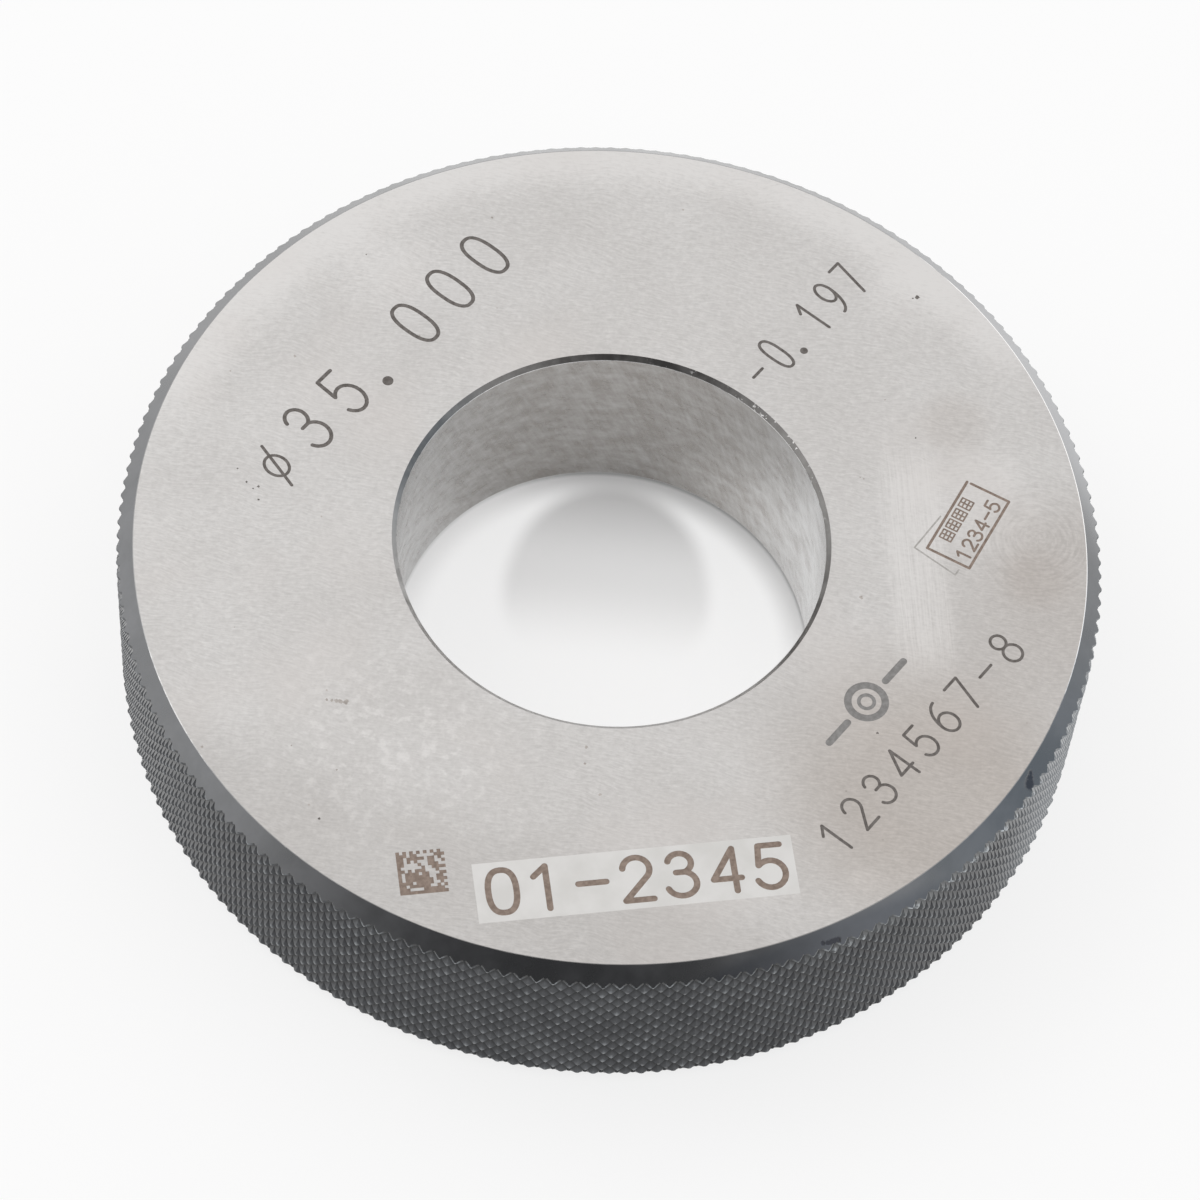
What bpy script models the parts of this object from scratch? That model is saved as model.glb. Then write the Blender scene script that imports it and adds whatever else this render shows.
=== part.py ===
"""Setting ring gauge: a hardened steel master ring, made as one piece.

It has a lapped bore, two flat ground faces and a diamond knurl round the rim. The knurl and the 45 degree
chamfers, at the rim and at the mouths of the bore, keep their black oxide.

The ring lies on its lower face. The origin is on the bore's axis at that face, and +Z runs along the bore.
All lengths are in metres.
"""

import math

import bmesh
import bpy

# The turned and ground sizes.
BORE_DIAMETER = 0.034803
OUTER_DIAMETER = 0.080  # over the tips of the knurl
WIDTH = 0.018  # from face to face
BORE_CHAMFER = 0.0004  # at 45 degrees, at both mouths of the bore
RIM_CHAMFER = 0.0014  # at 45 degrees, from each face to the tips of the knurl

# The diamond knurl. The pitch is a third over the real ring's, which keeps the number of facets down.
KNURL_PITCH = 0.001676  # from tip to tip, round the rim
KNURL_DEPTH = 0.0004  # from the tips to the bottom of the grooves
KNURL_ANGLE = math.radians(40)  # from the bore's axis to either set of grooves

SHARP_ANGLE = math.radians(20)  # edges that turn more than this are drawn as sharp

# Colour, roughness and metallic value of the two finishes.
GROUND_STEEL = ("ground_steel", (0.56, 0.55, 0.54), 0.35, 1.0)
BLACK_OXIDE = ("black_oxide", (0.055, 0.057, 0.062), 0.45, 0.6)
GROUND, BLACK = 0, 1  # the finishes' places among the object's materials


def clear_scene():
    for thing in list(bpy.data.objects):
        bpy.data.objects.remove(thing, do_unlink=True)


def make_material(name, colour, roughness, metallic):
    material = bpy.data.materials.new(name)
    material.use_nodes = True
    shader = material.node_tree.nodes["Principled BSDF"]
    shader.inputs["Base Color"].default_value = (*colour, 1.0)
    shader.inputs["Roughness"].default_value = roughness
    shader.inputs["Metallic"].default_value = metallic
    return material


def outer_radius():
    return OUTER_DIAMETER / 2


def face_radius():
    """Radius of the flat face, where the rim's chamfer starts."""
    return outer_radius() - RIM_CHAMFER


def knurl_starts():
    """How many grooves each of the two sets has round the rim."""
    return round(math.pi * OUTER_DIAMETER / KNURL_PITCH)


def knurl_rows():
    """How many rows of half diamonds fit between the two chamfers."""
    tip_spacing = math.pi * OUTER_DIAMETER / knurl_starts()
    row_height = tip_spacing / 2 / math.tan(KNURL_ANGLE)
    return max(2, round((WIDTH - 2 * RIM_CHAMFER) / row_height))


def is_tip(row, column):
    """Tips and crossings of the grooves alternate, as on a chessboard."""
    return (row + column) % 2 == 0


def point(bm, radius, angle, height):
    return bm.verts.new((radius * math.cos(angle), radius * math.sin(angle), height))


def turned_loop(bm, radius, height):
    """A circle of points round the axis, one for each start of the knurl."""
    count = knurl_starts()
    return [point(bm, radius, 2 * math.pi * i / count, height) for i in range(count)]


def chamfer_height(radius, upper):
    """Height of the rim's chamfer at a radius: it rises or falls at 45 degrees from the edge of its face."""
    drop = radius - face_radius()
    return WIDTH - drop if upper else drop


def knurl_loop(bm, row):
    """One row of the knurl. The first and last rows lie on the chamfers, which cut the diamonds off there."""
    rows = knurl_rows()
    columns = 2 * knurl_starts()
    spacing = (WIDTH - 2 * RIM_CHAMFER) / rows
    loop = []
    for column in range(columns):
        depth = 0 if is_tip(row, column) else KNURL_DEPTH
        radius = outer_radius() - depth
        height = RIM_CHAMFER + row * spacing
        if row in (0, rows):
            height = chamfer_height(radius, upper=row == rows)
        loop.append(point(bm, radius, 2 * math.pi * column / columns, height))
    return loop


def add_face(bm, corners, finish):
    face = bm.faces.new(corners)
    face.material_index = finish


def join_loops(bm, first, second, finish):
    """A band of quads between two circles that have as many points as each other."""
    count = len(first)
    for i in range(count):
        after = (i + 1) % count
        add_face(bm, (first[i], first[after], second[after], second[i]), finish)


def join_knurl_rows(bm, row, lower, upper):
    """A band of the knurl. Each square is split from crossing to crossing, along the bottom of a groove."""
    count = len(lower)
    for column in range(count):
        after = (column + 1) % count
        a, b, c, d = lower[column], lower[after], upper[after], upper[column]
        if is_tip(row, column):
            halves = ((a, b, d), (b, c, d))
        else:
            halves = ((a, b, c), (a, c, d))
        for half in halves:
            add_face(bm, half, BLACK)


def join_chamfer(bm, face_loop, knurl, upper):
    """The rim's chamfer, from the face's edge to the knurl, which has twice as many points."""
    count = len(face_loop)
    for i in range(count):
        after = (i + 1) % count
        left, middle, right = knurl[2 * i], knurl[2 * i + 1], knurl[2 * after]
        edge, next_edge = face_loop[i], face_loop[after]
        for corners in ((edge, left, middle), (edge, middle, next_edge), (next_edge, middle, right)):
            add_face(bm, corners if upper else corners[::-1], BLACK)


def make_ring():
    bm = bmesh.new()
    bore_radius = BORE_DIAMETER / 2
    mouth_radius = bore_radius + BORE_CHAMFER

    # From the edge of the lower face through the bore to the edge of the upper face.
    profile = (
        (face_radius(), 0.0),
        (mouth_radius, 0.0),
        (bore_radius, BORE_CHAMFER),
        (bore_radius, WIDTH - BORE_CHAMFER),
        (mouth_radius, WIDTH),
        (face_radius(), WIDTH),
    )
    finishes = (GROUND, BLACK, GROUND, BLACK, GROUND)
    loops = [turned_loop(bm, radius, height) for radius, height in profile]
    for first, second, finish in zip(loops, loops[1:], finishes):
        join_loops(bm, second, first, finish)

    knurl = [knurl_loop(bm, row) for row in range(knurl_rows() + 1)]
    for row, (lower, upper) in enumerate(zip(knurl, knurl[1:])):
        join_knurl_rows(bm, row, lower, upper)

    join_chamfer(bm, loops[0], knurl[0], upper=False)
    join_chamfer(bm, loops[-1], knurl[-1], upper=True)

    mesh = bpy.data.meshes.new("setting_ring")
    bm.to_mesh(mesh)
    bm.free()
    mesh.shade_smooth()
    mesh.set_sharp_from_angle(angle=SHARP_ANGLE)
    mesh.materials.append(make_material(*GROUND_STEEL))
    mesh.materials.append(make_material(*BLACK_OXIDE))

    ring = bpy.data.objects.new("setting_ring", mesh)
    bpy.context.scene.collection.objects.link(ring)
    return ring


clear_scene()
make_ring()
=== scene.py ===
"""Looks of the setting ring gauge: one steel ring with ground faces, a lapped bore and a black, knurled rim.

The ring is one mesh that stands for the frame's solid. Its knurl is cut at the true pitch, and the marks
are sunk into its upper face as shallow laser lines. Lengths are in metres, and those of the marks, spots and
bruises in millimetres. The marks read along +X.
"""

import math

import bpy
import numpy as np
from mathutils import Matrix, Vector
from mathutils.geometry import delaunay_2d_cdt


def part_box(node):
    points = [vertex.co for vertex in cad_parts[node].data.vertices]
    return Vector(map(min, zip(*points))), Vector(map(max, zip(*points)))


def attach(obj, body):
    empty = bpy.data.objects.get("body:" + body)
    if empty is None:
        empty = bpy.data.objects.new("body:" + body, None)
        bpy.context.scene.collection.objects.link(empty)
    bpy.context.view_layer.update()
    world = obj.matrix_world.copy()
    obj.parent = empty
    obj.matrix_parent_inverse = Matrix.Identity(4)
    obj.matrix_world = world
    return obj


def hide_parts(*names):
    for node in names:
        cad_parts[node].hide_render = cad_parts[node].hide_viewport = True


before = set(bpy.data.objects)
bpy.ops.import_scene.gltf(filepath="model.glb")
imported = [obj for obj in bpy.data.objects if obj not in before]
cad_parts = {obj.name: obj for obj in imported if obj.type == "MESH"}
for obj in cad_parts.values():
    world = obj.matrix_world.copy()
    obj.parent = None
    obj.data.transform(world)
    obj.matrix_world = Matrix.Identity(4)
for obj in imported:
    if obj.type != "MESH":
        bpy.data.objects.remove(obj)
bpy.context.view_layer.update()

MM = 0.001
NODE = "setting_ring"

# The camera: a long lens that looks down on the ring from its lower left.
SENSOR_WIDTH = 36.0
LENS = 143.73
CAMERA_AZIMUTH = math.radians(-56.2)
CAMERA_ELEVATION = math.radians(58.84)
CAMERA_ROLL = math.radians(5.84)
CAMERA_DISTANCE = 387.4 * MM
CAMERA_SHIFT_RIGHT = -0.45 * MM
CAMERA_SHIFT_UP = -5.19 * MM
CAMERA_RANGE = (0.01, 20.0)  # the nearest and the furthest that it sees

# The ring, from the frame's own solid.
LEVEL_TOLERANCE = 0.01 * MM
_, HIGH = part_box(NODE)
WIDTH = HIGH.z
CORNERS = np.array([vertex.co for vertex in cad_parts[NODE].data.vertices])
RADII = np.hypot(CORNERS[:, 0], CORNERS[:, 1])
TIP_RADIUS = RADII.max()
BORE_RADIUS = RADII.min()
ON_FACE = CORNERS[:, 2] > WIDTH - LEVEL_TOLERANCE
FACE_RADIUS = RADII[ON_FACE].max()
MOUTH_RADIUS = RADII[ON_FACE].min()

# The knurl, at its true pitch.
STARTS = 195
ROWS = 20
KNURL_DEPTH = 0.42 * MM
WORN_TIP = 0.24  # the part of a diamond's half width that its flattened tip takes
TIP_CROWN = 0.05  # how far a tip still rises inside its flat, as a part of the depth
TIP_WEAR = 0.05 * MM  # how far the most worn tips are worn down
LEAST_WEAR = 0.1  # how far the others are, as a part of it
CELL_STEPS = (0.0, WORN_TIP, 1.0 - WORN_TIP)
COLUMNS = 2 * STARTS
HALVINGS = 30  # steps that find where the knurl meets a chamfer

# Small radii that break the edges, and the angle from which an edge is drawn as sharp.
FACE_EDGE_RADIUS = 0.1 * MM
BORE_EDGE_RADIUS = 0.09 * MM
EDGE_STEPS = 2
SHARP_ANGLE = math.radians(8)

# The marks on the upper face.
MARK_DEPTH = 0.012 * MM
MERGE_DISTANCE = 1e-5  # millimetres within which two corners of the marks are one

SEED = 7


def random_source(offset=0):
    return np.random.default_rng(SEED + offset)


def new_object(name, data):
    thing = bpy.data.objects.new(name, data)
    bpy.context.scene.collection.objects.link(thing)
    return thing


def direction(azimuth, elevation):
    """A unit vector that points away from the ring. Azimuth 0 is along -Y."""
    level = Vector((0, -math.cos(elevation), math.sin(elevation)))
    return Matrix.Rotation(azimuth, 3, "Z") @ level


class MeshParts:
    """Points and faces of one mesh, gathered band by band."""

    def __init__(self):
        self.points = []
        self.faces = []
        self.finishes = []

    def add_points(self, points):
        start = len(self.points)
        self.points.extend(tuple(float(x) for x in point) for point in points)
        return list(range(start, len(self.points)))

    def add_face(self, corners, finish):
        self.faces.append(tuple(corners))
        self.finishes.append(FINISH_INDEX[finish])

    def band(self, lower, upper, finish):
        """Quads between two closed loops that have as many points as each other. Seen with the normal
        towards the eye, the loops run to the right and upper is above lower."""
        count = len(lower)
        for i in range(count):
            j = (i + 1) % count
            self.add_face((lower[i], lower[j], upper[j], upper[i]), finish)

    def to_object(self, name):
        mesh = bpy.data.meshes.new(name)
        mesh.from_pydata(self.points, [], self.faces)
        mesh.polygons.foreach_set("material_index", self.finishes)
        mesh.update()
        return new_object(name, mesh)


# The camera.


def make_camera():
    back = direction(CAMERA_AZIMUTH, CAMERA_ELEVATION)
    right = Matrix.Rotation(CAMERA_AZIMUTH, 3, "Z") @ Vector((1, 0, 0))
    up = back.cross(right)
    rolled_right = right * math.cos(CAMERA_ROLL) + up * math.sin(CAMERA_ROLL)
    rolled_up = up * math.cos(CAMERA_ROLL) - right * math.sin(CAMERA_ROLL)

    data = bpy.data.cameras.new("camera")
    data.sensor_width = SENSOR_WIDTH
    data.lens = LENS
    data.clip_start, data.clip_end = CAMERA_RANGE
    camera = new_object("camera", data)
    turn = Matrix((rolled_right, rolled_up, back)).transposed().to_4x4()
    place = Vector((0, 0, WIDTH)) + back * CAMERA_DISTANCE + right * CAMERA_SHIFT_RIGHT + up * CAMERA_SHIFT_UP
    camera.matrix_world = Matrix.Translation(place) @ turn
    bpy.context.scene.camera = camera


# The ring's mesh.


def column_angles():
    """Angles of the mesh's columns: each half diamond has three, close to its two tips."""
    steps = np.array([cell + step for cell in range(COLUMNS) for step in CELL_STEPS])
    return steps, steps * 2 * math.pi / COLUMNS


def knurl_share(across, along):
    """Height of the knurl, from 0 in a groove to 1 at a tip. Tips lie where across and along are whole
    numbers with an even sum, and the grooves run midway between rows of tips, both ways."""
    first = (across + along) / 2
    second = (across - along) / 2
    distance = 2 * np.maximum(np.abs(first - np.round(first)), np.abs(second - np.round(second)))
    height = 1 - distance
    flat_start = 1 - WORN_TIP
    slope = np.minimum(height / flat_start, 1) * (1 - TIP_CROWN)
    crown = np.clip((height - flat_start) / WORN_TIP, 0, 1) * TIP_CROWN
    return slope + crown


TIP_ROWS = ROWS + 3  # rows of tips from the one below the first row to the one above the last
WEAR_SHARES = LEAST_WEAR + (1 - LEAST_WEAR) * random_source().random((COLUMNS, TIP_ROWS)) ** 2


def tip_wear(across, along):
    """How far the nearest tip is worn down, the same for all the points of one tip."""
    first = np.round((across + along) / 2)
    second = np.round((across - along) / 2)
    column = (first + second).astype(int) % COLUMNS
    row = (first - second).astype(int) % TIP_ROWS
    return WEAR_SHARES[column, row] * TIP_WEAR


def knurl_radius(across, along):
    share = knurl_share(across, along)
    return TIP_RADIUS - KNURL_DEPTH * (1 - share) - tip_wear(across, along) * share


def cone_radius(height):
    """Radius of the two 45 degree cones that cut the knurl off at the faces."""
    return FACE_RADIUS + np.minimum(height, WIDTH - height)


def border_row(across, row_height, bottom, upper):
    """Row numbers at which the knurl meets a cone, for each column."""
    inner = np.full(len(across), float(ROWS if upper else 0))
    outward = 1.0 if upper else -1.0
    outer = inner + outward
    for _ in range(HALVINGS):
        middle = (inner + outer) / 2
        inside = knurl_radius(across, middle) < cone_radius(bottom + middle * row_height)
        inner = np.where(inside, middle, inner)
        outer = np.where(inside, outer, middle)
    return inner


def ring_points(radius, angles, height):
    radius = np.broadcast_to(radius, angles.shape)
    height = np.broadcast_to(height, angles.shape)
    return np.stack([radius * np.cos(angles), radius * np.sin(angles), height], axis=1)


def add_knurl(parts):
    """The knurled band, and the loops where the two chamfers cut it off."""
    across, angles = column_angles()
    bottom = TIP_RADIUS - FACE_RADIUS
    row_height = (WIDTH - 2 * bottom) / ROWS
    rows = [border_row(across, row_height, bottom, upper=False)]
    rows += [np.full(len(across), row + step) for row in range(ROWS) for step in CELL_STEPS]
    rows += [np.full(len(across), float(ROWS)), border_row(across, row_height, bottom, upper=True)]
    loops = []
    for row in rows:
        points = ring_points(knurl_radius(across, row), angles, bottom + row * row_height)
        loops.append(parts.add_points(points))
    count = len(across)
    for number, (lower, upper) in enumerate(zip(loops, loops[1:])):
        cell_row = (number - 1) // len(CELL_STEPS)
        for i in range(count):
            j = (i + 1) % count
            a, b, c, d = lower[i], lower[j], upper[j], upper[i]
            cell_column = i // len(CELL_STEPS)
            if (cell_row + cell_column) % 2 == 0:
                triangles = ((a, b, d), (b, c, d))
            else:
                triangles = ((a, b, c), (a, c, d))
            for triangle in triangles:
                parts.add_face(triangle, "black_knurl")
    return loops[0], loops[-1]


def rounded_corner(before, corner, after, radius):
    """Points of a small arc that rounds a corner of the ring's profile; all points are (radius, height)."""
    before, corner, after = (np.array(point) for point in (before, corner, after))
    inward = (before - corner) / np.linalg.norm(before - corner)
    outward = (after - corner) / np.linalg.norm(after - corner)
    half_angle = math.acos(float(np.dot(inward, outward))) / 2
    reach = radius / math.tan(half_angle)
    start, end = corner + inward * reach, corner + outward * reach
    middle = (inward + outward) / np.linalg.norm(inward + outward)
    centre = corner + middle * radius / math.sin(half_angle)
    first = math.atan2(*(start - centre)[::-1])
    last = math.atan2(*(end - centre)[::-1])
    turn = (last - first + math.pi) % (2 * math.pi) - math.pi
    angles = [first + turn * step / EDGE_STEPS for step in range(EDGE_STEPS + 1)]
    return [centre + radius * np.array((math.cos(angle), math.sin(angle))) for angle in angles]


def add_profile(parts, points, angles, flipped):
    """Loops for points of the profile above the ring's middle, or mirrored below it."""
    loops = []
    for radius, height in points:
        level = WIDTH - height if flipped else height
        loops.append(parts.add_points(ring_points(radius, angles, level)))
    return loops


def chain(parts, loops, finish, flipped):
    for first, second in zip(loops, loops[1:]):
        if flipped:
            parts.band(second, first, finish)
        else:
            parts.band(first, second, finish)


def add_side(parts, knurl_border, angles, flipped):
    """One side of the ring: the rim's chamfer, the rounded edge of the face, and the bore's chamfer with its
    rounded edge. Returns the face's two loops and the bore's first."""
    on_chamfer = (FACE_RADIUS + MM, WIDTH - MM)
    edge = rounded_corner(on_chamfer, (FACE_RADIUS, WIDTH), (MOUTH_RADIUS, WIDTH), FACE_EDGE_RADIUS)
    foot = (BORE_RADIUS, WIDTH - (MOUTH_RADIUS - BORE_RADIUS))
    throat = rounded_corner((MOUTH_RADIUS, WIDTH), foot, (BORE_RADIUS, WIDTH / 2), BORE_EDGE_RADIUS)
    edge_loops = add_profile(parts, edge, angles, flipped)
    throat_loops = add_profile(parts, throat, angles, flipped)
    mouth_loop = add_profile(parts, [(MOUTH_RADIUS, WIDTH)], angles, flipped)[0]
    chain(parts, [knurl_border, edge_loops[0]], "black_chamfer", flipped)
    chain(parts, edge_loops, "face_edge", flipped)
    chain(parts, [mouth_loop, throat_loops[0]], "bore_chamfer", flipped)
    chain(parts, throat_loops, "bore_edge", flipped)
    return edge_loops[-1], mouth_loop, throat_loops[-1]


# The marks: strokes on the upper face, in millimetres.


def points_round(centre, angles, across, up):
    """Points round a centre. across and up are the radii along X and along Y."""
    return list(zip(centre[0] + across * np.cos(angles), centre[1] + up * np.sin(angles)))


def arc(centre, radii, first, last, count=20):
    angles = np.radians(np.linspace(first, last, count))
    return points_round(centre, angles, *radii)


def oval(centre, radii, squareness=2.0, count=40):
    """A closed oval; above 2 the squareness straightens its sides."""
    points = []
    for i in range(count):
        a = 2 * math.pi * i / count
        c, s = math.cos(a), math.sin(a)
        x = math.copysign(abs(c) ** (2 / squareness), c)
        y = math.copysign(abs(s) ** (2 / squareness), s)
        points.append((centre[0] + radii[0] * x, centre[1] + radii[1] * y))
    return points + points[:1]


# Single-line figures in a box one wide and one high. Each is a list of strokes.
FIGURES = {
    "0": [oval((0.5, 0.5), (0.5, 0.5), 2.5)],
    "1": [[(0.05, 0.77), (0.5, 1.0)], [(0.5, 1.0), (0.5, 0.0)]],
    "2": [arc((0.5, 0.72), (0.48, 0.28), 172, -38) + [(0.0, 0.0)], [(0.0, 0.0), (1.0, 0.0)]],
    "3": [
        arc((0.46, 0.77), (0.42, 0.23), 165, -70),
        [(0.3, 0.555), (0.6, 0.555)],
        arc((0.46, 0.285), (0.53, 0.285), 72, -160),
    ],
    "4": [[(0.78, 1.0), (0.0, 0.3)], [(0.0, 0.3), (1.0, 0.3)], [(0.78, 1.0), (0.78, 0.0)]],
    "5": [[(0.9, 1.0), (0.13, 1.0)], [(0.13, 1.0), (0.06, 0.55)], arc((0.45, 0.32), (0.53, 0.32), 137, -155)],
    "6": [oval((0.5, 0.31), (0.5, 0.31)), arc((0.86, 0.31), (0.86, 0.69), 180, 92)],
    "7": [[(0.0, 1.0), (1.0, 1.0)], [(1.0, 1.0), (0.35, 0.0)]],
    "8": [oval((0.5, 0.775), (0.41, 0.225)), oval((0.5, 0.275), (0.5, 0.275))],
    "9": [oval((0.5, 0.69), (0.5, 0.31)), arc((0.14, 0.69), (0.86, 0.69), 0, -88)],
    "-": [[(0.0, 0.5), (1.0, 0.5)]],
    "o": [oval((0.5, 0.5), (0.42, 0.26)), [(0.2, 0.0), (0.8, 1.0)]],
}


class Marks:
    """Flat outlines on the upper face. Where two overlap, the one added last shows."""

    def __init__(self):
        self.points = []
        self.polygons = []

    def add_polygon(self, points, finish):
        start = len(self.points)
        self.points.extend(points)
        self.polygons.append((list(range(start, start + len(points))), finish))

    def add_stroke(self, points, width, finish):
        """A line of even width with round ends, or a closed one where the last point is the first."""
        points = np.array(points)
        closed = np.allclose(points[0], points[-1])
        steps = np.diff(points, axis=0)
        steps /= np.linalg.norm(steps, axis=1)[:, None]
        normals = np.stack([-steps[:, 1], steps[:, 0]], axis=1)
        before = np.vstack([normals[-1:] if closed else normals[:1], normals])
        after = np.vstack([normals, normals[:1] if closed else normals[-1:]])
        sides = before + after
        sides *= 2 / np.sum(sides * sides, axis=1)[:, None]
        left = points + sides * width / 2
        right = points - sides * width / 2
        if closed:
            left[-1], right[-1] = left[0], right[0]
        count = len(points) - 1 if closed else len(points)
        start = len(self.points)
        self.points.extend(map(tuple, left[:count]))
        self.points.extend(map(tuple, right[:count]))
        for i in range(len(points) - 1):
            j = (i + 1) % count
            quad = [start + count + i, start + count + j, start + j, start + i]
            self.polygons.append((quad, finish))
        if not closed:
            self.add_cap(points[0], -steps[0], width, finish)
            self.add_cap(points[-1], steps[-1], width, finish)

    def add_cap(self, centre, outward, width, finish, count=7):
        heading = math.atan2(outward[1], outward[0])
        angles = np.linspace(heading - math.pi / 2, heading + math.pi / 2, count)
        self.add_polygon(points_round(centre, angles, width / 2, width / 2), finish)

    def add_dot(self, centre, radius, finish, count=20):
        angles = np.linspace(0, 2 * math.pi, count, endpoint=False)
        self.add_polygon(points_round(centre, angles, radius, radius), finish)


def turned(point, angle):
    """A point given along and across a direction of reading, on the face."""
    c, s = math.cos(angle), math.sin(angle)
    return (point[0] * c - point[1] * s, point[0] * s + point[1] * c)


DOT_LEAD = 0.3  # how far a dot stands before the middle of its cell, as a part of the pitch


def add_text(marks, text, first, pitch, size, stroke, finish, angle=0.0, dot_radius=None):
    """Figures in even cells. first is the first cell's middle, and size the figures' width and height."""
    for number, figure in enumerate(text):
        middle = (first[0] + number * pitch, first[1])
        low = (middle[0] - size[0] / 2, middle[1] - size[1] / 2)
        if figure == ".":
            dot = (middle[0] - DOT_LEAD * pitch, low[1] + dot_radius / 2)
            marks.add_dot(turned(dot, angle), dot_radius, finish)
            continue
        for points in FIGURES[figure]:
            placed = [turned((low[0] + x * size[0], low[1] + y * size[1]), angle) for x, y in points]
            marks.add_stroke(placed, stroke, finish)


def box_corners(low, high, angle):
    """Corners of a box along the direction of reading, from its low left one and against the clock."""
    corners = (low, (high[0], low[1]), high, (low[0], high[1]))
    return [turned(corner, angle) for corner in corners]


# What the marks say: the bore's nominal size, the ring's deviation from it, and counting figures.
SIZE_TEXT = "35.000"
DEVIATION_TEXT = "-0.197"
NUMBER_TEXT = "1234567-8"
PATCH_TEXT = "01-2345"
BOX_TEXT = "1234-5"
PATCH_ANGLE = math.radians(-43.6)
BOX_ANGLE = math.radians(10.3)
CODE_CELLS = 14
CODE_FILLED = 0.55  # the part of its cells that is dark
CODE_OVERLAP = 0.01  # millimetres by which cells that touch at a corner run into each other
SYMBOL_MIDDLE = (1.17, -25.02)
SYMBOL_STROKE = 0.6
SYMBOL_RINGS = ((1.5, 0.6), (0.62, 0.3))  # radius and stroke
SYMBOL_LINE = (2.5, 4.9)  # where a centre line starts and ends, from the middle
BOX_LOW, BOX_HIGH = (12.0, -26.42), (19.36, -22.6)
BOX_GAP = 0.35  # how far its right side ends short of the upper corner
BOX_SQUARES = (13.9, 15.04, 16.18, 17.37)  # middles of the hatched squares
HATCH_STROKE = 0.14
HATCH_SHARES = (0.0, 0.33, 0.67, 1.0)  # heights of the lines across a hatched square


def add_size(marks):
    add_text(marks, "o", (-12.49, 24.95), pitch=1.0, size=(2.1, 4.3), stroke=0.26, finish="laser_line")
    look = {"size": (2.08, 4.48), "stroke": 0.33, "finish": "laser_line", "dot_radius": 0.46}
    add_text(marks, SIZE_TEXT, (-7.97, 25.46), pitch=4.53, **look)


def add_deviation(marks):
    look = {"size": (1.2, 3.4), "stroke": 0.26, "finish": "laser_line", "dot_radius": 0.33}
    add_text(marks, DEVIATION_TEXT, (20.31, 0.79), pitch=2.51, **look)


def add_number(marks):
    look = {"size": (1.5, 2.95), "stroke": 0.25, "finish": "laser_line"}
    add_text(marks, NUMBER_TEXT, (-10.05, -30.58), pitch=2.81, **look)


def add_symbol(marks):
    """A ring seen from above, between two centre lines."""
    for radius, stroke in SYMBOL_RINGS:
        marks.add_stroke(oval(SYMBOL_MIDDLE, (radius, radius)), stroke, "laser_symbol")
    for side in (-1, 1):
        reach = [(SYMBOL_MIDDLE[0] + side * x, SYMBOL_MIDDLE[1]) for x in SYMBOL_LINE]
        marks.add_stroke(reach, SYMBOL_STROKE, "laser_symbol")


def add_patch(marks):
    """A whitened field with a line of figures in it."""
    marks.add_polygon(box_corners((-14.87, -33.7), (10.22, -28.52), PATCH_ANGLE), "whitened_patch")
    look = {"size": (2.2, 3.7), "stroke": 0.5, "finish": "laser_brown", "angle": PATCH_ANGLE}
    add_text(marks, PATCH_TEXT, (-12.75, -31.1), pitch=3.51, **look)


def add_code(marks):
    """A square of cells like a machine-readable mark: a full L, a dashed L, and cells drawn at random."""
    low, size = (-20.61, -30.65), 3.75
    cell = size / CODE_CELLS
    filled = random_source(1).random((CODE_CELLS, CODE_CELLS)) < CODE_FILLED
    filled[:, 0] = True
    filled[0, :] = True
    filled[-1, :] = np.arange(CODE_CELLS) % 2 == 0
    filled[:, -1] = np.arange(CODE_CELLS) % 2 == 0
    for row, cells in enumerate(filled):
        changes = np.flatnonzero(np.diff(np.concatenate(([0], cells.astype(int), [0]))))
        bottom, top = low[1] + row * cell - CODE_OVERLAP, low[1] + (row + 1) * cell + CODE_OVERLAP
        for first, last in zip(changes[::2], changes[1::2]):
            left, right = low[0] + first * cell - CODE_OVERLAP, low[0] + last * cell + CODE_OVERLAP
            marks.add_polygon(box_corners((left, bottom), (right, top), PATCH_ANGLE), "laser_brown")


def add_date_box(marks):
    """A thin box with four hatched squares over a line of figures, and the ghost of an older box."""
    ghost = [(18.99, -19.11), (15.21, -19.28), (15.28, -23.35), (15.86, -23.3)]
    for start, end in zip(ghost, ghost[1:]):
        marks.add_stroke([start, end], HATCH_STROKE, "ghost_line")
    corners = box_corners(BOX_LOW, BOX_HIGH, BOX_ANGLE)
    short = turned((BOX_HIGH[0], BOX_HIGH[1] - BOX_GAP), BOX_ANGLE)
    for start, end in zip(corners, (corners[1], short, corners[3], corners[0])):
        marks.add_stroke([start, end], 0.23, "laser_brown")
    look = {"size": (0.74, 1.18), "stroke": 0.2, "finish": "laser_brown", "angle": BOX_ANGLE}
    add_text(marks, BOX_TEXT, (12.96, -25.45), pitch=1.065, **look)
    for middle in BOX_SQUARES:
        add_hatched_square(marks, (middle, -23.48), (0.84, 1.02))


def add_hatched_square(marks, middle, size):
    left, right = middle[0] - size[0] / 2, middle[0] + size[0] / 2
    bottom, top = middle[1] - size[1] / 2, middle[1] + size[1] / 2
    lines = [((left, y), (right, y)) for y in (bottom + share * (top - bottom) for share in HATCH_SHARES)]
    lines += [((x, bottom), (x, top)) for x in (left, middle[0], right)]
    for start, end in lines:
        marks.add_stroke([turned(start, BOX_ANGLE), turned(end, BOX_ANGLE)], HATCH_STROKE, "laser_brown")


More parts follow.
